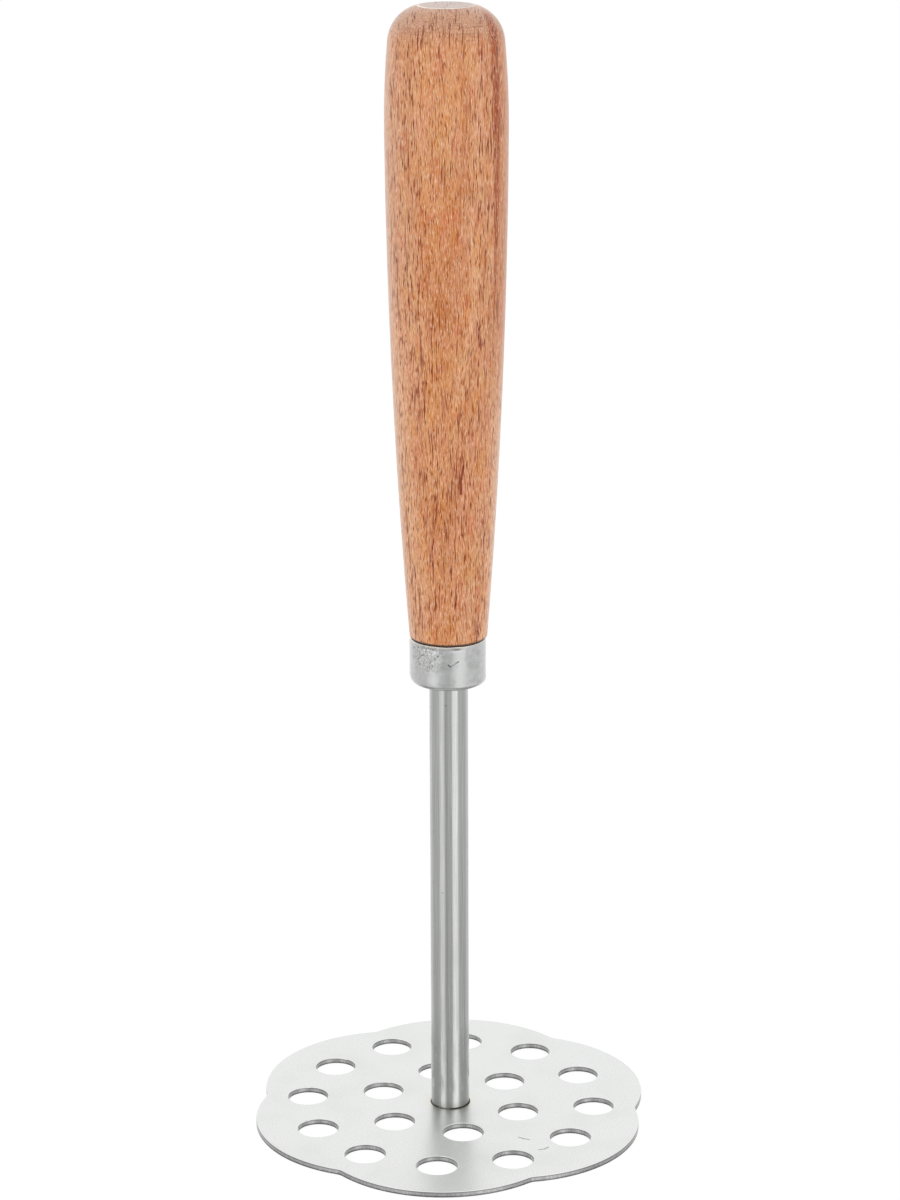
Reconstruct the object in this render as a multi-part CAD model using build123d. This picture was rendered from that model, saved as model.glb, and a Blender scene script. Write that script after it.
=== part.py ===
"""Potato masher: a perforated plate with round lobes on a straight tube, with a turned beech handle.

Millimetres, +Z up along the tube. The origin is the centre of the plate's underside.
One lobe tip points along -Y, which is the front.
"""

from build123d import *

import math
import os

# Mashing plate, cut and pressed from stainless sheet
plate_diameter = 100.0  # across two opposite lobe tips
plate_thickness = 1.5
lobe_count = 6
lobe_centre_radius = 18.0  # where the arc of each lobe is struck from
notch_radius = 3.0  # rounds the inward corner between two lobes
plate_edge_radius = 0.2  # the sheet's edges are broken, at the outline and in the holes
hole_diameter = 10.0
outer_ring_share = 0.72  # of the plate's radius, one hole at each lobe tip and each notch
inner_ring_share = 0.36  # of the plate's radius, one hole for each lobe

# Shaft, a stainless tube that stands on the plate and is welded to it all round
tube_diameter = 9.5
tube_wall = 1.0
shaft_exposed = 111.4  # from the plate's top to the ferrule
tang_length = 68.6  # from the ferrule's underside to the tube's hidden end
tube_edge_radius = 0.2
weld_width = 0.35  # the bead's reach out from the tube, and up it

# Ferrule, a drawn cup with a hole in its floor, pressed on the handle's tenon
ferrule_diameter = 18.2
ferrule_height = 11.2
ferrule_wall = 0.5
ferrule_inner_corner = 0.7
ferrule_rim_radius = 0.15
ferrule_hole_clearance = 0.1  # round the tube

# Handle, turned from one piece of beech
handle_length = 150.6  # from the shoulder above the ferrule to the flat top
shoulder_gap = 0.3  # between the ferrule's rim and the shoulder
shoulder_step = 0.25  # the wood stands out past the ferrule by this
shoulder_radius = 0.4
tenon_corner_clearance = 0.1  # the tenon's rounded end inside the ferrule's corner
handle_diameter = 28.8  # at its widest
widest_share = 0.81  # of the handle's length
handle_bow = 1.1  # how far the long side swells out from a straight cone
crown_height = 7.8
crown_taper = 0.9  # the grip's radius shrinks by this between the widest place and the crown
top_flat_diameter = 13.2

# Bore in the handle and the adhesive that holds the tang
glue_gap = 0.15
drill_run_on = 3.0  # the bore goes this far past the tang
drill_point_angle = 118.0

# Sizes that follow from those above
plate_radius = plate_diameter / 2
lobe_radius = plate_radius - lobe_centre_radius
hole_radius = hole_diameter / 2
tube_radius = tube_diameter / 2
tube_bore_radius = tube_radius - tube_wall
ferrule_radius = ferrule_diameter / 2
tenon_radius = ferrule_radius - ferrule_wall
bore_radius = tube_radius + glue_gap

ferrule_z = plate_thickness + shaft_exposed
tenon_z = ferrule_z + ferrule_wall
rim_z = ferrule_z + ferrule_height
shoulder_z = rim_z + shoulder_gap
tube_top_z = ferrule_z + tang_length
handle_top_z = shoulder_z + handle_length


def turned(*edges):
    """The solid that a closed outline in radius and height sweeps round the tube's axis."""
    return revolve(Plane.XZ * make_face(edges), Axis.Z)


def turned_ring(inner_radius, outer_radius, low_z, high_z):
    """A plain sleeve about the tube's axis."""
    corners = [
        (inner_radius, low_z),
        (outer_radius, low_z),
        (outer_radius, high_z),
        (inner_radius, high_z),
    ]
    return turned(Polyline(*corners, close=True))


def flat_edges(solid):
    """The edges of a plate's two flat faces: its outline and the rims of its holes."""
    faces = solid.faces().filter_by(Axis.Z)
    return [edge for face in faces for edge in face.edges()]


def mashing_plate():
    """Overlapping discs make the lobes, and two rings of holes are cut through them."""
    front_tip = -90.0
    lobe_pitch = 360 / lobe_count
    outline = Sketch() + [
        spot * Circle(lobe_radius)
        for spot in PolarLocations(lobe_centre_radius, lobe_count, start_angle=front_tip)
    ]
    outline = fillet(outline.vertices(), notch_radius)
    outer_ring = outer_ring_share * plate_radius
    inner_ring = inner_ring_share * plate_radius
    inner_start = front_tip + lobe_pitch / 4
    spots = [
        *PolarLocations(outer_ring, 2 * lobe_count, start_angle=front_tip),
        *PolarLocations(inner_ring, lobe_count, start_angle=inner_start),
    ]
    outline -= [spot * Circle(hole_radius) for spot in spots]
    plate = extrude(outline, plate_thickness)
    return fillet(flat_edges(plate), plate_edge_radius)


def shaft_tube():
    """A straight tube from the plate's top face to its hidden end in the handle."""
    tube = turned_ring(tube_bore_radius, tube_radius, plate_thickness, tube_top_z)
    upper_rim = tube.edges().filter_by(GeomType.CIRCLE).group_by(Axis.Z)[-1]
    return fillet(upper_rim.sort_by(SortBy.LENGTH)[-1], tube_edge_radius)


def weld_bead():
    """The low round bead of the weld, in the corner between tube and plate."""
    corner = Vector(tube_radius, plate_thickness)
    foot = corner + Vector(weld_width, 0)
    head = corner + Vector(0, weld_width)
    bulge = weld_width * (1 - math.sqrt(0.5))
    return turned(
        Line(corner, foot),
        SagittaArc(foot, head, -bulge),
        Line(head, corner),
    )


def ferrule():
    """A thin drawn cup, open upwards, with a hole for the tube."""
    outer = turned_ring(0, ferrule_radius, ferrule_z, rim_z)
    corner = outer.edges().filter_by(GeomType.CIRCLE).group_by(Axis.Z)[0]
    outer = fillet(corner, ferrule_inner_corner + ferrule_wall)
    inner = turned_ring(0, tenon_radius, tenon_z, rim_z)
    corner = inner.edges().filter_by(GeomType.CIRCLE).group_by(Axis.Z)[0]
    inner = fillet(corner, ferrule_inner_corner)
    hole = turned_ring(0, tube_radius + ferrule_hole_clearance, ferrule_z, rim_z)
    cup = outer - inner - hole
    rim = cup.edges().filter_by(GeomType.CIRCLE).group_by(Axis.Z)[-1]
    return fillet(rim.sort_by(SortBy.LENGTH)[-1], ferrule_rim_radius)


def handle():
    """The long grip with its crown, the tenon that fills the ferrule, and the tang's bore."""
    foot = Vector(ferrule_radius + shoulder_step, shoulder_z)
    widest = Vector(handle_diameter / 2, shoulder_z + widest_share * handle_length)
    crown = Vector(handle_diameter / 2 - crown_taper, handle_top_z - crown_height)
    top_rim = Vector(top_flat_diameter / 2, handle_top_z)
    long_side = SagittaArc(foot, widest, -handle_bow)
    upper_side = TangentArc(widest, crown, tangent=long_side % 1)
    crown_side = TangentArc(crown, top_rim, tangent=upper_side % 1)
    top_centre = Vector(0, handle_top_z)
    shoulder_centre = Vector(0, shoulder_z)
    grip = turned(
        long_side,
        upper_side,
        crown_side,
        Polyline(top_rim, top_centre, shoulder_centre, foot),
    )
    shoulder = grip.edges().filter_by(GeomType.CIRCLE).group_by(Axis.Z)[0]
    grip = fillet(shoulder, shoulder_radius)

    tenon = turned_ring(0, tenon_radius, tenon_z, shoulder_z)
    tenon_end = tenon.edges().filter_by(GeomType.CIRCLE).group_by(Axis.Z)[0]
    tenon = fillet(tenon_end, ferrule_inner_corner + tenon_corner_clearance)

    bore_end_z = tube_top_z + drill_run_on
    drill_point = bore_radius / math.tan(math.radians(drill_point_angle / 2))
    bore = turned(
        Polyline(
            (0, tenon_z),
            (bore_radius, tenon_z),
            (bore_radius, bore_end_z),
            (0, bore_end_z + drill_point),
            close=True,
        )
    )
    return grip + tenon - bore


def tang_adhesive():
    """The sleeve of set adhesive between the tube and the handle's bore."""
    return turned_ring(tube_radius, bore_radius, tenon_z, tube_top_z - tube_edge_radius)


nodes = {
    "mashing_plate": mashing_plate,
    "shaft_tube": shaft_tube,
    "weld_bead": weld_bead,
    "ferrule": ferrule,
    "handle": handle,
    "tang_adhesive": tang_adhesive,
}

os.makedirs("parts", exist_ok=True)
for name, make in nodes.items():
    shape = make()
    shape.label = name
    export_step(shape, f"parts/{name}.step")
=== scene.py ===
"""Looks of the potato masher: satin steel, a knocked-about ferrule and a turned beech handle.

Metres, in the frame of the solids: +Z up along the tube, the plate's front lobe tip along -Y.
"""

import math

import bmesh
import bpy
from mathutils import Matrix, Vector, noise


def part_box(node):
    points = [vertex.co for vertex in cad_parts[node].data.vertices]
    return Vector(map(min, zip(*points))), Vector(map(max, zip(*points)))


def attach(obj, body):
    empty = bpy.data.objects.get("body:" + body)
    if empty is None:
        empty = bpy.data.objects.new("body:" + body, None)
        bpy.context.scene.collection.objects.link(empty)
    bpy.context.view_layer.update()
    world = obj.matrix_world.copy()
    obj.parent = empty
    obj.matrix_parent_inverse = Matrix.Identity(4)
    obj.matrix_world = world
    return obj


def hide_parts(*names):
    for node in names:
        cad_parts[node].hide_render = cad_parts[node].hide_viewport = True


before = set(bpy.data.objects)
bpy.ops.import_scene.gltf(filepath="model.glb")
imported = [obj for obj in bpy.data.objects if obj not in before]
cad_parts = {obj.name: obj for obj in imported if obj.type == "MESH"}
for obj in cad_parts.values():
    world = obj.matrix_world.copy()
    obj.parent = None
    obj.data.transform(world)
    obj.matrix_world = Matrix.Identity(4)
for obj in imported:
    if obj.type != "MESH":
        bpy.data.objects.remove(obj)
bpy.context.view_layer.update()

MM = 0.001

# Camera, fitted to the photograph's plate, holes and handle
PHOTO_HEIGHT_PX = 1200
FOCAL_PX = 3400
SENSOR = 36.0
CAMERA_TURN = math.radians(5.14)  # the front lobe tip points this far left of the camera
CAMERA_PITCH = math.radians(17.08)
CAMERA_ROLL = math.radians(-0.22)
CAMERA_BACK = 780.1 * MM
CAMERA_HEIGHT = 372.9 * MM
CAMERA_ASIDE = 0.4 * MM

# Sizes of the solids that the finer pieces and the marks keep to
PLATE_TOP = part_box("mashing_plate")[1].z
TUBE_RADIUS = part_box("shaft_tube")[1].x
FERRULE_LOW, FERRULE_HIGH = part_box("ferrule")
FERRULE_RADIUS = FERRULE_HIGH.x
FERRULE_RIM = FERRULE_HIGH.z
HANDLE_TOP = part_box("handle")[1].z
SHOULDER = FERRULE_RIM + 0.3 * MM

# Ferrule, as the solid has it
FERRULE_WALL = 0.5 * MM
FERRULE_CORNER = 1.2 * MM
FERRULE_RIM_ROUND = 0.15 * MM
FERRULE_HOLE = TUBE_RADIUS + 0.1 * MM
FERRULE_SEGMENTS = 288

# Knocks on the ferrule: degrees right of the camera, then millimetres
# below the rim, across, tall and deep
DENTS = (
    (-57, 1.7, 1.0, 0.7, 0.12),
    (-46, 0.9, 0.7, 0.4, 0.09),
    (-45, 2.9, 0.8, 0.25, 0.10),
    (-22, 1.3, 0.7, 0.6, 0.10),
    (-15, 2.4, 0.5, 0.8, 0.09),
    (-23, 3.6, 0.5, 0.9, 0.06),
    (-15, 6.0, 0.9, 0.5, 0.05),
    (-46, 9.0, 1.1, 0.3, 0.06),
    (5, 8.6, 1.0, 0.3, 0.05),
    (118, 3.5, 1.6, 1.1, 0.12),
    (163, 7.2, 1.2, 0.8, 0.09),
    (-131, 5.4, 1.8, 0.7, 0.10),
)

# Where the ferrule's rim is turned out: degrees right of the camera, half the reach, and
# millimetres out
TURNED_OUT = ((-32, 22, 0.40), (12, 9, 0.32), (140, 24, 0.25))

# Middle of the patch where its wall is crumpled: degrees, and millimetres below the rim
CRUMPLED = (-39, 2.2)

# Strokes of the tick scratched into the ferrule's front: start and end, each in degrees and
# millimetres below the rim, then the width in millimetres
TICK_STROKES = (
    ((-0.6, 4.3), (2.6, 4.8), 0.30),
    ((2.6, 4.8), (14.8, 3.6), 0.25),
)

# Two slight scratches on the plate's top: the points that they run through, in millimetres
PLATE_SCRATCHES = {
    "curl": ((18.6, -19.16, 1.5), (19.9, -19.9, 1.5), (21.2, -20.17, 1.5)),
    "tick": ((23.96, -25.6, 1.5), (25.34, -25.0, 1.5), (26.15, -23.95, 1.5)),
}

# A forked dark fleck on the front of the handle: each stroke's start, end and width in millimetres
FLECK_STROKES = (
    ((3.55, -11.4, 170.0), (3.9, -11.4, 165.5), 0.28),
    ((4.6, -11.2, 169.5), (4.15, -11.3, 166.0), 0.45),
    ((4.0, -11.3, 166.5), (4.1, -11.2, 162.7), 0.50),
)


def lerp(a, b, t):
    return a + (b - a) * t


def bell(distance, width):
    """A smooth bump of height 1 that has faded out at about twice its width."""
    return math.exp(-((distance / width) ** 2))


def round_the_tube(degrees, radius, height):
    """A point at an angle to the right of the camera's side."""
    angle = math.radians(degrees) + CAMERA_TURN
    return Vector((radius * math.sin(angle), -radius * math.cos(angle), height))


def new_object(name, data):
    """An object in the scene that holds this mesh, lamp or lens."""
    item = bpy.data.objects.new(name, data)
    bpy.context.scene.collection.objects.link(item)
    return item


class Wiring:
    """Adds nodes to a tree and wires them up."""

    def add(self, kind, settings=None, **inputs):
        """A new node; an input's spaces are written as underscores."""
        node = self.tree.nodes.new(kind)
        for name, value in (settings or {}).items():
            setattr(node, name, value)
        for name, value in inputs.items():
            self.feed(node.inputs[name.replace("_", " ")], value)
        return node

    def feed(self, socket, value):
        """Sets an input to a plain value, or wires it to a socket or a node's first output."""
        if isinstance(value, bpy.types.Node):
            value = value.outputs[0]
        if isinstance(value, bpy.types.NodeSocket):
            self.tree.links.new(value, socket)
        elif socket.type == "RGBA" and len(value) == 3:
            socket.default_value = (*value, 1.0)
        else:
            socket.default_value = value

    def math(self, operation, *values, clamp=False):
        node = self.tree.nodes.new("ShaderNodeMath")
        node.operation = operation
        node.use_clamp = clamp
        for socket, value in zip(node.inputs, values):
            self.feed(socket, value)
        return node


class Recipe(Wiring):
    """The nodes of one material or of the world, in the order in which they are wired."""

    def __init__(self, owner):
        owner.use_nodes = True
        self.tree = owner.node_tree
        self.tree.nodes.clear()

    def add(self, kind, settings=None, **inputs):
        """A new shader node, named by the end of its kind."""
        return super().add("ShaderNode" + kind, settings, **inputs)

    def vector(self, operation, *values):
        node = self.add("VectorMath", {"operation": operation})
        for socket, value in zip(node.inputs, values):
            self.feed(socket, value)
        return node

    def step(self, value, low, high, out_low=0.0, out_high=1.0):
        """A soft ramp of value from low to high."""
        return self.add(
            "MapRange",
            {"interpolation_type": "SMOOTHSTEP"},
            Value=value,
            From_Min=low,
            From_Max=high,
            To_Min=out_low,
            To_Max=out_high,
        )

    def band(self, value, centre, half_width, softness):
        """1 within half_width of centre, 0 outside, with soft sides."""
        away = self.math("ABSOLUTE", self.math("SUBTRACT", value, centre))
        return self.step(away, half_width - softness, half_width + softness, 1.0, 0.0)

    def product(self, first, *others):
        for other in others:
            first = self.math("MULTIPLY", first, other)
        return first

    def mix(self, factor, a, b, how="MIX"):
        """Colour a turned into colour b by factor."""
        node = self.add("Mix", {"data_type": "RGBA", "blend_type": how})
        for socket, value in zip((node.inputs[0], node.inputs[6], node.inputs[7]), (factor, a, b)):
            self.feed(socket, value)
        return node.outputs[2]

    def ramp(self, value, *stops):
        """Colours by place along value."""
        node = self.add("ValToRGB", Fac=value)
        elements = node.color_ramp.elements
        while len(elements) < len(stops):
            elements.new(1.0)
        for element, (place, colour) in zip(elements, stops):
            element.position = place
            element.color = (*colour, 1.0)
        return node

    def place(self, scale=(1, 1, 1), turn=(0, 0, 0), of=None):
        """The object's own coordinates, or those given, turned and then scaled."""
        where = of or self.add("TexCoord").outputs["Object"]
        if any(turn):
            where = self.add("Mapping", Vector=where, Rotation=turn)
        return self.add("Mapping", Vector=where, Scale=scale)

    def grain(self, sizes, of=None, detail=2.0, turn=(0, 0, 0)):
        """Noise from 0 to 1 whose blotches measure about these millimetres."""
        where = self.place([1 / (size * MM) for size in sizes], turn, of)
        return self.add("TexNoise", Vector=where, Scale=1.0, Detail=detail).outputs[0]

    def near_line(self, where, start, end, width):
        """1 on the straight line from start to end, fading to 0 at width from it."""
        run = end - start
        reach = self.vector("SUBTRACT", where, start)
        along = self.vector("DOT_PRODUCT", reach, run).outputs["Value"]
        share = self.math("DIVIDE", along, run.length_squared, clamp=True)
        foot = self.add("VectorMath", {"operation": "SCALE"})
        foot.inputs[0].default_value = run
        self.feed(foot.inputs["Scale"], share)
        off = self.vector("LENGTH", self.vector("SUBTRACT", reach, foot)).outputs["Value"]
        return self.step(off, width * 0.25, width, 1.0, 0.0)

    def finish(self, shader):
        output = self.tree.nodes.new("ShaderNodeOutputMaterial")
        self.tree.links.new(shader.outputs[0], output.inputs["Surface"])


def new_material(name):
    material = bpy.data.materials.new(name)
    return material, Recipe(material)


def metal(steel, tone, rough, bump):
    """Ends a recipe as bare metal."""
    steel.finish(
        steel.add("BsdfPrincipled", Base_Color=tone, Metallic=1.0, Roughness=rough, Normal=bump)
    )


def tube_steel():
    """Stainless tube, polished along its length: fine long lines, faint clouds and pits."""
    material, steel = new_material("tube_steel")
    where = steel.add("TexCoord").outputs["Object"]
    lines = steel.grain((0.11, 0.11, 18), detail=3)
    clouds = steel.grain((4, 4, 13), detail=3)
    tone = steel.mix(steel.step(lines, 0.3, 0.7), (0.57, 0.58, 0.57), (0.78, 0.79, 0.78))
    tone = steel.mix(steel.step(clouds, 0.35, 0.8, 0.0, 0.6), tone, (0.63, 0.64, 0.62))
    # Painted light: the tube is made brighter towards the ferrule, standing in for the brighter
    # reflections it catches up there
    height = steel.add("SeparateXYZ", Vector=where).outputs["Z"]
    tone = steel.mix(steel.step(height, 20 * MM, 100 * MM), tone, (1.10, 1.10, 1.10), "MULTIPLY")

    cells = steel.add("TexVoronoi", Vector=steel.place((1 / (3 * MM),) * 3), Scale=1.0)
    lot = steel.add("SeparateColor", Color=cells.outputs["Color"]).outputs[0]
    pits = steel.product(
        steel.step(cells.outputs["Distance"], 0.03, 0.07, 1.0, 0.0), steel.step(lot, 0.45, 0.6)
    )
    # Heat of the weld has dulled the last millimetres above the plate
    heat = steel.step(height, PLATE_TOP, PLATE_TOP + 2.5 * MM, 0.5, 0.0)
    tone = steel.mix(steel.math("MAXIMUM", pits, heat), tone, (0.30, 0.295, 0.28))
    rough = steel.step(clouds, 0.2, 0.8, 0.17, 0.25)
    bump = steel.add("Bump", Strength=0.25, Distance=0.01 * MM, Height=lines)
    metal(steel, tone, rough, bump)
    return material


def cut_edge(steel, height, tooth):
    """A painted shade line just below the rounded rim, a smooth sheared band, and a torn one below."""
    wobble = steel.product(steel.grain((1.2, 1.2, 1.2)), 0.3 * MM)
    torn = steel.step(steel.math("ADD", height, wobble), 0.5 * MM, 0.75 * MM, 1.0, 0.0)
    ribs = steel.grain((0.22, 0.22, 1.4), detail=2)
    sheared = steel.mix(steel.step(ribs, 0.3, 0.7), (0.52, 0.525, 0.52), (0.74, 0.745, 0.74))
    torn_tone = steel.mix(steel.step(tooth, 0.3, 0.7), (0.16, 0.165, 0.16), (0.34, 0.345, 0.34))
    # Painted shade: a dark line just below the rounded top rim
    line = steel.step(height, 1.05 * MM, 1.2 * MM)
    edge = steel.mix(torn, sheared, torn_tone)
    return steel.mix(steel.product(line, 0.8), edge, (0.30, 0.305, 0.30))


def plate_steel():
    """Satin stainless sheet: a fine even tooth, light scuffs, a painted highlight on the rims, and
    darker cut edges with a painted shade line.
    """
    material, steel = new_material("plate_steel")
    coordinates = steel.add("TexCoord")
    where = coordinates.outputs["Object"]
    tooth = steel.grain((0.3, 0.3, 0.3), detail=3)
    clouds = steel.grain((12, 12, 12), detail=3)
    tone = steel.mix(steel.step(tooth, 0.3, 0.7), (0.715, 0.725, 0.715), (0.885, 0.895, 0.885))
    tone = steel.mix(steel.step(clouds, 0.45, 0.75, 0.0, 0.5), tone, (0.755, 0.770, 0.755))
    for points in PLATE_SCRATCHES.values():
        for start, end in zip(points, points[1:]):
            mark = steel.near_line(where, Vector(start) * MM, Vector(end) * MM, 0.32 * MM)
            tone = steel.mix(steel.product(mark, 0.85), tone, (0.25, 0.26, 0.25))
    hairs = steel.grain((0.16, 7, 1), detail=1, turn=(0, 0, math.radians(37)))
    tone = steel.mix(steel.step(hairs, 0.70, 0.80, 0.0, 0.3), tone, (0.50, 0.51, 0.50))

    # The weld's heat has tinted the sheet round the tube
    across = steel.vector("MULTIPLY", where, (1, 1, 0))
    out = steel.vector("LENGTH", across).outputs["Value"]
    tint = steel.step(steel.math("ADD", out, steel.product(clouds, 3 * MM)), 10 * MM, 6 * MM)
    tone = steel.mix(steel.product(tint, 0.6), tone, (0.76, 0.735, 0.665))

    # Painted highlight: the rounded rims are made pale, standing in for the light they catch
    facing = steel.add("SeparateXYZ", Vector=coordinates.outputs["Normal"]).outputs["Z"]
    tone = steel.mix(steel.band(facing, 0.78, 0.16, 0.04), tone, (0.97, 0.975, 0.97))
    cut = steel.step(steel.math("ABSOLUTE", facing), 0.25, 0.6, 1.0, 0.0)
    height = steel.add("SeparateXYZ", Vector=where).outputs["Z"]
    tone = steel.mix(cut, tone, cut_edge(steel, height, tooth))
    satin = steel.step(clouds, 0.3, 0.7, 0.30, 0.37)
    rough = steel.math("MAXIMUM", satin, steel.product(cut, 0.4))
    bump = steel.add("Bump", Strength=0.25, Distance=0.01 * MM, Height=tooth)
    metal(steel, tone, rough, bump)
    return material


def weld_steel():
    """The weld's metal, browned by its heat."""
    material, steel = new_material("weld_steel")
    clouds = steel.grain((0.6, 0.6, 0.6), detail=3)
    burns = steel.grain((3, 3, 3), detail=1)
    tone = steel.mix(steel.step(clouds, 0.3, 0.7), (0.24, 0.235, 0.22), (0.14, 0.135, 0.125))
    tone = steel.mix(steel.step(burns, 0.42, 0.56), tone, (0.060, 0.056, 0.052))
    bump = steel.add("Bump", Strength=0.3, Distance=0.02 * MM, Height=clouds)
    metal(steel, tone, 0.38, bump)
    return material


def on_ferrule(degrees, below):
    """A point on the ferrule's wall, at an angle and millimetres below its rim."""
    return round_the_tube(degrees, FERRULE_RADIUS, FERRULE_RIM - below * MM)


def ferrule_scratches(cup, where):
    """A tick on the front, and fine slanted scuffs all round."""
    first, second = [
        cup.near_line(where, on_ferrule(*start), on_ferrule(*end), width * MM)
        for start, end, width in TICK_STROKES
    ]
    scuffs = cup.grain((0.13, 0.13, 2.4), detail=1, turn=(0.0, math.radians(24), 0.0))
    tick = cup.math("MAXIMUM", first, second)
    return cup.math("MAXIMUM", tick, cup.step(scuffs, 0.69, 0.8, 0.0, 0.5))


def ferrule_metal():
    """Satin drawn metal, cloudy from handling and scratched, with a crumpled patch."""
    material, cup = new_material("ferrule_metal")
    where = cup.add("TexCoord").outputs["Object"]
    clouds = cup.grain((1.9, 1.9, 1.5), detail=4)
    tooth = cup.grain((0.2, 0.2, 0.2), detail=2)
    tone = cup.mix(cup.step(clouds, 0.3, 0.7), (0.84, 0.855, 0.84), (0.97, 0.98, 0.97))
    tone = cup.mix(cup.step(tooth, 0.35, 0.75, 0.0, 0.35), tone, (0.66, 0.67, 0.67))
    # Painted shade: the middle of the side facing the camera is darkened
    front_high = round_the_tube(9, FERRULE_RADIUS, FERRULE_RIM)
    front_low = round_the_tube(9, FERRULE_RADIUS, FERRULE_LOW.z)
    painted_front_shade = cup.near_line(where, front_high, front_low, 5 * MM)
    tone = cup.mix(cup.product(painted_front_shade, 0.5), tone, (0.62, 0.63, 0.62))

    # The crumpled patch is full of small creases, with painted shade in their folds and painted
    # highlights on their backs
    from_middle = cup.vector("DISTANCE", where, on_ferrule(*CRUMPLED)).outputs["Value"]
    crumpled = cup.step(from_middle, 2.6 * MM, 6.2 * MM, 1.0, 0.0)
    creases = cup.grain((0.30, 0.30, 0.75), detail=1, turn=(0.0, math.radians(-30), 0.0))
    painted_fold_shade = cup.product(cup.step(creases, 0.48, 0.36), crumpled)
    painted_crease_glints = cup.product(cup.step(creases, 0.52, 0.62), crumpled)
    tone = cup.mix(cup.product(painted_fold_shade, 0.65), tone, (0.33, 0.34, 0.33))
    tone = cup.mix(cup.product(painted_crease_glints, 0.9), tone, (1.0, 1.0, 0.99))
    marks = ferrule_scratches(cup, where)
    tone = cup.mix(marks, tone, (0.045, 0.045, 0.045))

    up = cup.add("SeparateXYZ", Vector=where).outputs["Z"]
    # Painted highlight: the top of the rim is made pale and cream
    painted_rim_glint = cup.step(up, FERRULE_RIM - 0.45 * MM, FERRULE_RIM - 0.2 * MM)
    tone = cup.mix(painted_rim_glint, tone, (1.0, 0.975, 0.90))
    # Darker towards the lower corner
    foot = cup.step(up, FERRULE_LOW.z + 0.5 * MM, FERRULE_LOW.z + 0.15 * MM, 0.0, 0.6)
    tone = cup.mix(foot, tone, (0.36, 0.36, 0.35))
    height = cup.math("SUBTRACT", cup.product(tooth, 0.2), cup.product(marks, 1.2))
    height = cup.math("ADD", height, cup.product(creases, crumpled, 16.0))
    bump = cup.add("Bump", Strength=0.8, Distance=0.02 * MM, Height=height)
    metal(cup, tone, cup.step(clouds, 0.3, 0.7, 0.30, 0.42), bump)
    return material


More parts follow.
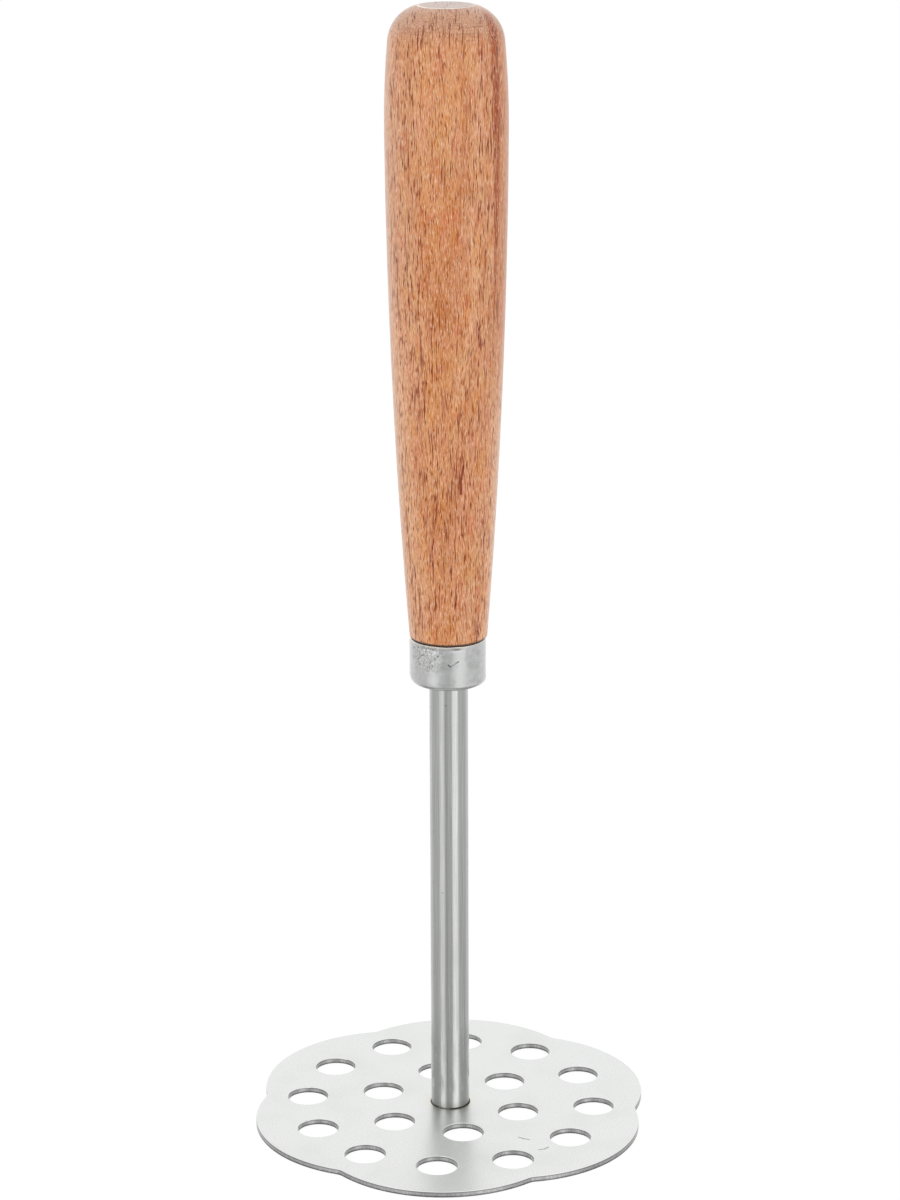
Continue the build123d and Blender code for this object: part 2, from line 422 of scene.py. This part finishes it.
class Beech(Recipe):
    """The handle's wood. Most of its steps take the colour so far and give back the next."""

    def __init__(self, owner):
        super().__init__(owner)
        coordinates = self.add("TexCoord")
        self.where = coordinates.outputs["Object"]
        self.facing = self.add("SeparateXYZ", Vector=coordinates.outputs["Normal"]).outputs["Z"]
        board = self.add("Mapping", Vector=self.where, Rotation=(0, 0, -CAMERA_TURN))
        self.east, self.north, self.up = self.add("SeparateXYZ", Vector=board).outputs
        level = self.add("CombineXYZ", X=self.east, Y=self.north)
        self.out = self.vector("LENGTH", level).outputs["Value"]

        # The grain wavers slowly over the handle and more quickly round each ray
        slow = self.grain((11, 11, 34), of=board, detail=1)
        quick = self.grain((2.2, 2.2, 5), of=board, detail=1)
        sway = self.math(
            "ADD",
            self.product(self.math("SUBTRACT", slow, 0.5), 2.6 * MM),
            self.product(self.math("SUBTRACT", quick, 0.5), 0.25 * MM),
        )
        self.board = self.vector("ADD", board, self.add("CombineXYZ", X=sway, Y=sway))
        self.swayed = self.math("ADD", self.east, self.product(sway, 0.8))
        self.slant = self.math("ADD", self.swayed, self.product(self.north, 0.45))
        self.patches = self.grain((3, 6, 9), of=self.board, detail=2)
        self.blush = self.grain((2, 6, 5), of=self.board, detail=1)
        self.threads = self.grain((0.15, 0.3, 1.2), of=self.board, detail=1)
        self.long_threads = self.grain((0.17, 0.35, 4), of=self.board, detail=1)

    def rise(self, low, high, out_low=0.0, out_high=1.0):
        """A soft ramp between two heights in millimetres above the ground."""
        return self.step(self.up, low * MM, high * MM, out_low, out_high)

    def growth_layers(self):
        """Layers across the line of sight, a little tilted, with paler and warmer patches."""
        tilt = (math.radians(1.2), 0, math.radians(9))
        tone = self.ramp(
            self.grain((26, 1.7, 110), of=self.board, detail=2, turn=tilt),
            (0.30, (0.618, 0.257, 0.115)),
            (0.44, (0.704, 0.317, 0.145)),
            (0.56, (0.754, 0.369, 0.181)),
            (0.72, (0.774, 0.408, 0.213)),
        )
        patches, blush = self.patches, self.blush
        tone = self.mix(self.step(patches, 0.50, 0.34, 0.0, 0.7), tone, (0.740, 0.344, 0.198))
        tone = self.mix(self.step(patches, 0.52, 0.68, 0.0, 0.6), tone, (0.735, 0.290, 0.086))
        tone = self.mix(self.step(blush, 0.56, 0.72, 0.0, 0.6), tone, (0.700, 0.225, 0.110))
        return self.mix(self.step(blush, 0.44, 0.28, 0.0, 0.5), tone, (0.680, 0.360, 0.150))

    def middle_and_sides(self, tone):
        """More orange down the middle, browner left of it high up, and paler at the sides from painted
        sheen.
        """
        middle = self.product(
            self.band(self.swayed, -1.5 * MM, 3.3 * MM, 1.4 * MM),
            self.rise(264, 232, 0.3, 0.95),
            self.rise(165, 205, 0.5, 1.0),
        )
        tone = self.mix(middle, tone, (0.93, 0.84, 0.68), "MULTIPLY")
        brown = self.product(
            self.band(self.swayed, -8.6 * MM, 1.3 * MM, 1.2 * MM), self.rise(185, 215, 0.0, 0.9)
        )
        tone = self.mix(brown, tone, (0.92, 0.94, 0.93), "MULTIPLY")
        # Painted sheen: the left side is made paler
        painted_left_sheen = self.step(self.swayed, -9.0 * MM, -12.0 * MM, 0.0, 0.45)
        tone = self.mix(painted_left_sheen, tone, (0.730, 0.430, 0.270))
        # Low down the painted sheen on the left side is wider and stronger, and painted light makes
        # the right edge a little brighter
        side = self.math("DIVIDE", self.swayed, self.out)
        painted_low_left_sheen = self.product(self.step(side, -0.40, -0.85, 0.0, 0.4), self.rise(225, 180))
        tone = self.mix(painted_low_left_sheen, tone, (0.887, 0.527, 0.297))
        painted_low_right_light = self.product(self.step(side, 0.70, 0.84, 0.0, 0.4), self.rise(190, 160))
        return self.mix(painted_low_right_light, tone, (0.890, 0.460, 0.220))

    def end_grain_and_sheen(self, tone):
        """Duller and greyer round the crown, partly end grain and partly painted sheen, and greyer
        still on the flat top from painted sheen.
        """
        # Partly end grain and partly painted sheen: the crown greys as it turns up
        ragged = self.product(self.math("SUBTRACT", self.patches, 0.5), 0.4)
        ends = self.step(self.math("ADD", self.facing, ragged), 0.02, 0.68, 0.0, 0.72)
        tone = self.mix(ends, tone, (0.545, 0.350, 0.250))
        # Painted sheen: the flat top is made grey and pale
        bare = self.step(self.facing, 0.955, 0.985, 0.0, 0.9)
        tone = self.mix(bare, tone, (0.455, 0.358, 0.308))
        fine = self.grain((0.45, 0.45, 0.45), of=self.where, detail=2)
        pores = self.product(bare, self.step(fine, 0.50, 0.34, 0.0, 0.5))
        return self.mix(pores, tone, (0.260, 0.165, 0.120))

    def streak(self):
        """Where one red growth layer runs down from the crown, right of the middle."""
        off = self.math("ABSOLUTE", self.math("SUBTRACT", self.slant, 7.35 * MM))
        half = self.rise(200, 262, 0.4 * MM, 1.5 * MM)
        return self.product(
            self.step(self.math("DIVIDE", off, half), 0.4, 1.3, 1.0, 0.0),
            self.rise(180, 215),
            self.step(self.facing, 0.9, 0.8),
        )

    def red_layer(self, tone, streak):
        """The broken streak, and beyond it redder wood high up, darkened partly as painted shade, and
        wood made paler low down by painted light.
        """
        broken = self.product(
            streak,
            self.step(self.blush, 0.34, 0.60, 0.45, 0.95),
            self.rise(248, 258, 0.8, 1.0),
        )
        tone = self.mix(broken, tone, (0.465, 0.085, 0.0))
        beyond = self.step(self.slant, 6.4 * MM, 8.4 * MM)
        # Beyond the streak: painted shade darkens the redder wood high up, and painted light makes it
        # paler low down
        above = self.product(beyond, self.rise(170, 215))
        below = self.product(beyond, self.rise(205, 165, 0.0, 0.65))
        tone = self.mix(above, tone, (0.89, 0.76, 0.60), "MULTIPLY")
        return self.mix(below, tone, (0.86, 0.52, 0.32))

    def fibres(self, tone, streak):
        """Short pale and dark threads, darkest low on the handle and in the streak."""
        threads, long_threads = self.threads, self.long_threads
        lower = self.rise(240, 165)
        dark = self.product(
            self.step(threads, 0.50, 0.28), self.step(lower, 0.0, 1.0, 0.50, 0.64)
        )
        long_dark = self.product(
            self.step(long_threads, 0.43, 0.33), self.step(lower, 0.0, 1.0, 0.70, 0.88)
        )
        tone = self.mix(dark, tone, (0.480, 0.125, 0.0))
        tone = self.mix(self.step(threads, 0.53, 0.75, 0.0, 0.75), tone, (0.940, 0.630, 0.450))
        tone = self.mix(long_dark, tone, (0.400, 0.080, 0.0))
        strokes = self.product(streak, self.step(long_threads, 0.52, 0.40))
        return self.mix(strokes, tone, (0.300, 0.035, 0.0))

    def rays(self, width, height):
        """The wood's rays: ribbons that are thin across the face and tall along the grain."""
        scale = (1 / (width * MM), 1 / (5 * MM), 1 / (height * MM))
        kind = {"feature": "F1", "distance": "MANHATTAN"}
        spots = self.add("TexVoronoi", kind, Vector=self.place(scale, of=self.board), Scale=1.0)
        lots = self.add("SeparateColor", Color=spots.outputs["Color"])
        size = self.step(lots.outputs[1], 0.0, 1.0, 0.7, 1.4)
        inside = self.math("DIVIDE", spots.outputs["Distance"], size)
        body = self.step(inside, 0.30, 0.44, 1.0, 0.0)
        return self.product(body, self.step(lots.outputs[0], 0.15, 0.9))

    def ray_marks(self):
        """Dark dashes on the front and back, fainter flecks on the sides, and the forked fleck."""
        marks = self.math("MAXIMUM", self.rays(0.34, 11), self.rays(0.34, 5.5))
        marks = self.math("MAXIMUM", marks, self.rays(0.30, 2.6))
        across = self.math("DIVIDE", self.math("ABSOLUTE", self.north), self.out)
        marks = self.product(marks, self.step(across, 0.1, 0.7, 0.2, 1.0))
        for start, end, width in FLECK_STROKES:
            stroke = self.near_line(self.where, Vector(start) * MM, Vector(end) * MM, width * MM)
            marks = self.math("MAXIMUM", marks, self.product(stroke, 0.9))
        return marks

    def turning_lines(self):
        """Fine rings where the tool came round the crown."""
        rings = self.grain((5, 5, 0.3), of=self.where, detail=2)
        crown = self.product(
            self.step(self.up, HANDLE_TOP - 9 * MM, HANDLE_TOP - 5 * MM),
            self.step(self.facing, 0.9, 0.8),
        )
        return self.product(self.step(rings, 0.42, 0.30), crown)

    def painted_rim_highlight(self, tone):
        """Painted highlight on the rim of the flat top, palest at the front left."""
        fine = self.grain((1.1, 1.1, 1.1), of=self.where, detail=2)
        rim = self.product(
            self.band(self.out, 6.45 * MM, 0.34 * MM, 0.16 * MM),
            self.step(self.up, HANDLE_TOP - 1 * MM, HANDLE_TOP),
            self.step(self.east, 5 * MM, 0.0, 0.45, 1.0),
            self.step(self.north, 4 * MM, -2 * MM, 0.25, 1.0),
            self.step(fine, 0.36, 0.50, 0.45, 1.0),
        )
        return self.mix(rim, tone, (0.980, 0.830, 0.700))

    def painted_gap_shade(self, tone):
        """Painted shade in the gap above the ferrule."""
        gap = self.product(
            self.step(self.up, SHOULDER + 0.60 * MM, SHOULDER + 0.20 * MM),
            self.step(self.up, FERRULE_RIM - 1 * MM, FERRULE_RIM - 0.5 * MM),
        )
        return self.mix(self.product(gap, 0.94), tone, (0.060, 0.022, 0.010))

    def relief(self, marks, turned):
        """Threads stand up a little; rays and turning lines are sunk."""
        height = self.math("SUBTRACT", self.product(self.threads, 0.35), marks)
        height = self.math("SUBTRACT", height, turned)
        return self.add("Bump", Strength=0.35, Distance=0.05 * MM, Height=height)


def beech():
    """Oiled beech: warm tan with redder bands along the grain and short dark rays."""
    material = bpy.data.materials.new("beech")
    wood = Beech(material)
    streak = wood.streak()
    marks = wood.ray_marks()
    turned = wood.turning_lines()
    tone = wood.middle_and_sides(wood.growth_layers())
    tone = wood.red_layer(wood.end_grain_and_sheen(tone), streak)
    tone = wood.fibres(tone, streak)
    tone = wood.mix(marks, tone, (0.200, 0.018, 0.0))
    tone = wood.mix(wood.product(turned, 0.5), tone, (0.300, 0.120, 0.060))
    tone = wood.painted_gap_shade(wood.painted_rim_highlight(tone))
    wood.finish(
        wood.add(
            "BsdfPrincipled",
            Base_Color=tone,
            Roughness=wood.step(wood.threads, 0.2, 0.8, 0.40, 0.54),
            IOR=1.33,
            Coat_Weight=0.04,
            Coat_Roughness=0.35,
            Sheen_Weight=0.62,
            Sheen_Roughness=0.4,
            Normal=wood.relief(marks, turned),
        )
    )
    return material


def set_adhesive():
    """Amber set adhesive with small bubbles, out of sight in the handle."""
    material, glue = new_material("set_adhesive")
    bubbles = glue.add("TexVoronoi", Vector=glue.place((1 / (1.2 * MM),) * 3), Scale=1.0)
    shade = glue.step(bubbles.outputs["Distance"], 0.1, 0.5)
    tone = glue.mix(shade, (0.72, 0.62, 0.40), (0.60, 0.48, 0.26))
    glue.finish(glue.add("BsdfPrincipled", Base_Color=tone, Roughness=0.35))
    return material


def dress(node, material):
    """Gives a solid of the frame its finish in every slot."""
    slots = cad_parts[node].data.materials
    slots.clear()
    slots.append(material)


def settle(piece, node):
    """Puts a finished piece in the place of a solid."""
    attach(piece, "root")
    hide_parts(node)


def straight_run(start, end, steps):
    """Points from start up to, but not including, end."""
    return [[lerp(a, b, i / steps) for a, b in zip(start, end)] for i in range(steps)]


def arc_run(centre, radius, start, end, steps):
    """Points on an arc, in degrees, up to, but not including, its end."""
    angles = [math.radians(lerp(start, end, i / steps)) for i in range(steps)]
    return [[centre[0] + radius * math.cos(a), centre[1] + radius * math.sin(a)] for a in angles]


def ferrule_outline():
    """The cup's section in radius and height: floor, outer corner, wall, rim, and back down inside."""
    low, rim, outer = FERRULE_LOW.z, FERRULE_RIM, FERRULE_RADIUS
    inner = outer - FERRULE_WALL
    inner_corner = FERRULE_CORNER - FERRULE_WALL
    floor_top = low + FERRULE_WALL
    corner_centre = (outer - FERRULE_CORNER, low + FERRULE_CORNER)
    rim_centre = (outer - FERRULE_RIM_ROUND, rim - FERRULE_RIM_ROUND)
    # Each run ends with its number of steps; the outer wall has the most, for its dents
    return [
        *straight_run((FERRULE_HOLE, low), (corner_centre[0], low), 5),
        *arc_run(corner_centre, FERRULE_CORNER, -90, 0, 12),
        *straight_run((outer, corner_centre[1]), (outer, rim_centre[1]), 66),
        *arc_run(rim_centre, FERRULE_RIM_ROUND, 0, 90, 4),
        *straight_run((rim_centre[0], rim), (inner, rim), 2),
        *straight_run((inner, rim), (inner, corner_centre[1]), 6),
        *arc_run(corner_centre, inner_corner, 0, -90, 6),
        *straight_run((corner_centre[0], floor_top), (FERRULE_HOLE, floor_top), 3),
        *straight_run((FERRULE_HOLE, floor_top), (FERRULE_HOLE, low), 2),
    ]


def apart(degrees, other):
    """How far two directions round the tube are apart, in degrees."""
    return (degrees - other + 180) % 360 - 180


def knocked(degrees, radius, height):
    """Where a point of the true cup has ended up, as radius and height."""
    if radius < FERRULE_RADIUS - 0.4 * MM:
        return radius, height
    below = (FERRULE_RIM - height) / MM
    spot = round_the_tube(degrees, 1.0, 0.0)
    # Pressed on a little off centre, to the left
    swell = 0.13 - 0.20 * math.sin(math.radians(degrees))
    swell *= bell(max(0.0, below - 9), 1.2) * bell(max(0.0, 1 - below), 1.0)
    swell += 0.022 * noise.noise(Vector((spot.x * 2.2, spot.y * 2.2, below * 0.22)))
    swell += 0.012 * noise.noise(Vector((spot.x * 9, spot.y * 9, below * 0.9)))
    for centre, depth_below, width, tall, deep in DENTS:
        across = math.radians(apart(degrees, centre)) * FERRULE_RADIUS / MM
        swell -= deep * bell(across, width) * bell(below - depth_below, tall)
    lift = 0.0
    for centre, reach, out in TURNED_OUT:
        window = bell(apart(degrees, centre), reach)
        swell += out * window * bell(below, 0.45)
        swell -= 0.3 * out * window * bell(below - 0.9, 0.28)
        lift += 0.4 * out * window * bell(below, 0.3)
    crumpled = bell(apart(degrees, CRUMPLED[0]), 22) * bell(below - CRUMPLED[1], 1.9)
    swell += 0.16 * crumpled * noise.noise(Vector((spot.x * 11, spot.y * 11, below * 1.2)))
    return radius + swell * MM, height + lift * MM


def drawn_ferrule():
    """The cup turned from its outline, with its knocks and its uneven rim."""
    outline = ferrule_outline()
    shape = bmesh.new()
    rows = []
    for i in range(FERRULE_SEGMENTS):
        degrees = 360 * i / FERRULE_SEGMENTS
        row = []
        for radius, height in outline:
            row.append(shape.verts.new(round_the_tube(degrees, *knocked(degrees, radius, height))))
        rows.append(row)
    for row, following in zip(rows, rows[1:] + rows[:1]):
        for j in range(len(outline)):
            k = (j + 1) % len(outline)
            shape.faces.new((row[j], following[j], following[k], row[k]))
    bmesh.ops.recalc_face_normals(shape, faces=shape.faces)
    mesh = bpy.data.meshes.new("drawn_ferrule")
    shape.to_mesh(mesh)
    shape.free()
    mesh.shade_smooth()
    mesh.set_sharp_from_angle(angle=math.radians(50))
    mesh.materials.append(ferrule_metal())
    settle(new_object("drawn_ferrule", mesh), "ferrule")


class Geometry(Wiring):
    """A tree of geometry nodes with named sizes."""

    def __init__(self, name, sizes):
        self.tree = bpy.data.node_groups.new(name, "GeometryNodeTree")
        self.sizes = {}
        face = self.tree.interface
        for label, value in sizes.items():
            socket = face.new_socket(label, in_out="INPUT", socket_type="NodeSocketFloat")
            self.sizes[socket.identifier] = value
        face.new_socket("Geometry", in_out="OUTPUT", socket_type="NodeSocketGeometry")
        self.given = self.tree.nodes.new("NodeGroupInput")

    def feed(self, socket, value):
        """As in any tree, and text names one of this tree's sizes."""
        if isinstance(value, str):
            value = self.given.outputs[value]
        super().feed(socket, value)

    def grow(self, name, result):
        """The tree's result as a plain mesh on an object of its own."""
        output = self.tree.nodes.new("NodeGroupOutput")
        self.tree.links.new(result.outputs[0], output.inputs[0])
        seed = bpy.data.meshes.new(name + "_seed")
        piece = new_object(name, seed)
        maker = piece.modifiers.new(name, "NODES")
        maker.node_group = self.tree
        for identifier, value in self.sizes.items():
            maker[identifier] = value
        evaluated = piece.evaluated_get(bpy.context.evaluated_depsgraph_get())
        mesh = bpy.data.meshes.new_from_object(evaluated)
        piece.modifiers.clear()
        piece.data = mesh
        mesh.name = name
        bpy.data.meshes.remove(seed)
        return piece


def ripple_swell(bead, spot, angle):
    """How much each point of the bead is swollen or sunk, as a factor."""
    half_turns = bead.math("MULTIPLY", angle, bead.math("DIVIDE", "Ripples", 2.0))
    wave = bead.math("ABSOLUTE", bead.math("SINE", half_turns))
    ripple = bead.math("MULTIPLY", bead.math("SUBTRACT", wave, 0.6), "Ripple depth")
    lumps = bead.add("ShaderNodeTexNoise", Vector=spot, Scale=260.0, Detail=1.0)
    uneven = bead.math("MULTIPLY", bead.math("SUBTRACT", lumps, 0.5), "Unevenness")
    return bead.math("ADD", bead.math("ADD", ripple, uneven), 1.0)


def rippled_weld():
    """The bead round the tube's foot, laid as a row of small overlapping ripples."""
    bead = Geometry(
        "weld_ripples",
        {
            "Tube radius": TUBE_RADIUS,
            "Bead width": 0.25 * MM,
            "Foot height": PLATE_TOP,
            "Ripples": 58.0,
            "Ripple depth": 0.16,
            "Unevenness": 0.5,
        },
    )
    path = bead.add(
        "GeometryNodeCurvePrimitiveCircle", {"mode": "RADIUS"}, Resolution=464, Radius="Tube radius"
    )
    section = bead.add(
        "GeometryNodeCurveArc",
        {"mode": "RADIUS"},
        Resolution=9,
        Radius="Bead width",
        Start_Angle=math.radians(-90),
        Sweep_Angle=math.radians(90),
        Connect_Center=True,
    )
    ring = bead.add("GeometryNodeCurveToMesh", Curve=path, Profile_Curve=section)

    spot = bead.add("GeometryNodeInputPosition")
    x, y, z = bead.add("ShaderNodeSeparateXYZ", Vector=spot).outputs
    swell = ripple_swell(bead, spot, bead.math("ARCTAN2", y, x))
    squares = bead.math("ADD", bead.math("MULTIPLY", x, x), bead.math("MULTIPLY", y, y))
    out = bead.math("SQRT", squares)
    reach = bead.math("MULTIPLY", bead.math("SUBTRACT", out, "Tube radius"), swell)
    stretch = bead.math("DIVIDE", bead.math("ADD", "Tube radius", reach), out)
    laid = bead.add(
        "ShaderNodeCombineXYZ",
        X=bead.math("MULTIPLY", x, stretch),
        Y=bead.math("MULTIPLY", y, stretch),
        Z=bead.math("ADD", bead.math("MULTIPLY", z, swell), "Foot height"),
    )
    shaped = bead.add("GeometryNodeSetPosition", Geometry=ring, Position=laid)
    smooth = bead.add("GeometryNodeSetShadeSmooth", Geometry=shaped)
    whole = bead.add("GeometryNodeRealizeInstances", Geometry=smooth)
    finished = bead.add("GeometryNodeSetMaterial", Geometry=whole)
    finished.inputs["Material"].default_value = weld_steel()
    settle(bead.grow("rippled_weld", finished), "weld_bead")


def place_camera():
    """The photograph's view: looking down a little, from just right of the front lobe tip."""
    aside = Vector((math.cos(CAMERA_TURN), math.sin(CAMERA_TURN), 0))
    away = Vector((-math.sin(CAMERA_TURN), math.cos(CAMERA_TURN), 0))
    up = away * math.sin(CAMERA_PITCH) + Vector((0, 0, math.cos(CAMERA_PITCH)))
    back = aside.cross(up)
    spot = away * -CAMERA_BACK + aside * CAMERA_ASIDE + Vector((0, 0, CAMERA_HEIGHT))
    lens = bpy.data.cameras.new("camera")
    lens.sensor_width = SENSOR
    lens.lens = FOCAL_PX / PHOTO_HEIGHT_PX * SENSOR
    camera = new_object("camera", lens)
    turn = Matrix((aside, up, back)).transposed().to_4x4()
    camera.matrix_world = Matrix.Translation(spot) @ turn @ Matrix.Rotation(CAMERA_ROLL, 4, "Z")
    bpy.context.scene.camera = camera


# What the metal mirrors round the studio: degrees right of the camera, half the width,
# softness of the sides, and brightness added to the dim room low down and high up
CAMERA_SIDE = 0.25  # round the horizon, where 0 is the left and a half is the right
ROOM_LOW = 0.49
ROOM_HIGH = 0.43
PALE_LEAST = 0.74
PALE_MOST = 1.04
PANELS = (
    (36, 18, 3, 0.50, 1.30),  # right softbox
    (-42, 15, 4, 0.33, 0.98),  # left softbox
    (14, 5, 2, -0.12, -0.16),  # dark strips beside the softboxes
    (-18, 9, 3, -0.13, -0.16),
    (180, 50, 24, 0.52, 0.59),  # white backdrop
    (141, 5, 3, -0.45, -0.40),  # dark stands at its sides
    (-143, 5, 3, -0.40, -0.35),
)


def mirrored_room(sky, around, high):
    """How bright the dim room is in each direction, with its softboxes, strips and backdrop."""
    room = sky.step(high, 0.0, 1.0, ROOM_LOW, ROOM_HIGH)
    for degrees, half_width, softness, low_level, high_level in PANELS:
        spot = CAMERA_SIDE + degrees / 360
        spot -= math.floor(spot)
        panel = sky.band(around, spot, half_width / 360, softness / 360)
        level = sky.step(high, 0.0, 1.0, low_level, high_level)
        room = sky.math("ADD", room, sky.product(panel, level))
    return room


def studio_world():
    """White to the camera, softboxes and a dim room to the metal, even soft light to the rest."""
    world = bpy.data.worlds.new("studio")
    bpy.context.scene.world = world
    # Light is looked up along each ray only, so that the ray's kind below always holds
    world.cycles.sampling_method = "NONE"
    sky = Recipe(world)
    seen = sky.add("LightPath")
    where = sky.add("TexCoord").outputs["Generated"]
    turned = sky.add("Mapping", Vector=where, Rotation=(0, 0, -CAMERA_TURN))
    around = sky.add("TexGradient", {"gradient_type": "RADIAL"}, Vector=turned).outputs[1]
    rise = sky.add("SeparateXYZ", Vector=where).outputs["Z"]
    high = sky.step(rise, -0.05, 0.2)
    room = mirrored_room(sky, around, high)
    # Seen at first hand the upper room is pale all round, which keeps the plate pale from any side.
    # The tube's foot sees it in the plate, with more contrast.
    pale = sky.math("MINIMUM", sky.math("MAXIMUM", room, PALE_LEAST), PALE_MOST)
    first_hand = sky.product(high, sky.step(seen.outputs["Glossy Depth"], 2.0, 1.0))
    room = sky.mix(first_hand, room, pale)
    # It is dark straight below, and has a white ceiling
    room = sky.mix(sky.step(rise, -0.62, -0.80), room, (0.22, 0.22, 0.22))
    ceiling = sky.step(rise, math.sin(math.radians(42)), math.sin(math.radians(65)))
    mirrored = sky.mix(ceiling, room, (1.0, 1.0, 1.0))
    # The backdrop sends more soft light round the object's sides than the room does from the front
    soft = sky.mix(sky.band(around, CAMERA_SIDE, 0.26, 0.12), (1.0,) * 3, (0.72,) * 3)
    lit = sky.mix(seen.outputs["Is Glossy Ray"], soft, mirrored)
    white = sky.math("MAXIMUM", seen.outputs["Is Camera Ray"], seen.outputs["Is Transmission Ray"])
    light = sky.add("Background", Color=sky.mix(white, lit, (1.0, 1.0, 1.0)), Strength=1.0)
    output = sky.tree.nodes.new("ShaderNodeOutputWorld")
    sky.tree.links.new(light.outputs[0], output.inputs["Surface"])


LAMP_AIM = Vector((0, 0, 0.15))  # near the middle of the masher
FLOOR_RADIUS = 6.0
FLOOR_GAP = 0.02 * MM  # below the plate's underside


def softbox(name, spot, width, power):
    """A square lamp aimed at the masher, unseen in the metal."""
    lamp = bpy.data.lights.new(name, "AREA")
    lamp.size = width
    lamp.energy = power
    body = new_object(name, lamp)
    aim = LAMP_AIM - Vector(spot)
    body.rotation_euler = aim.to_track_quat("-Z", "Y").to_euler()
    body.location = spot
    body.visible_glossy = False


def lay_floor():
    """A round white floor under the plate that keeps a faint shadow."""
    mesh = bpy.data.meshes.new("floor")
    shape = bmesh.new()
    bmesh.ops.create_circle(shape, cap_ends=True, segments=64, radius=FLOOR_RADIUS)
    shape.to_mesh(mesh)
    shape.free()
    floor = new_object("floor", mesh)
    floor.location.z = -FLOOR_GAP
    floor.visible_glossy = False
    material, paint = new_material("floor_white")
    seen = paint.add("LightPath").outputs["Is Camera Ray"]
    matt = paint.add("BsdfDiffuse", Color=(0.9, 0.9, 0.9))
    glow = paint.add("Emission", Color=(1.0, 1.0, 1.0), Strength=1.03)
    both = paint.add("MixShader", Fac=paint.math("MULTIPLY", seen, 0.9))
    paint.tree.links.new(matt.outputs[0], both.inputs[1])
    paint.tree.links.new(glow.outputs[0], both.inputs[2])
    paint.finish(both)
    mesh.materials.append(material)


dress("mashing_plate", plate_steel())
dress("shaft_tube", tube_steel())
dress("handle", beech())
dress("tang_adhesive", set_adhesive())
drawn_ferrule()
rippled_weld()

place_camera()
studio_world()
softbox("key_lamp", spot=(-0.9, -1.2, 1.3), width=0.9, power=6)
softbox("fill_lamp", spot=(1.2, -0.9, 0.7), width=0.9, power=3)
lay_floor()

bpy.context.scene.view_settings.view_transform = "Standard"
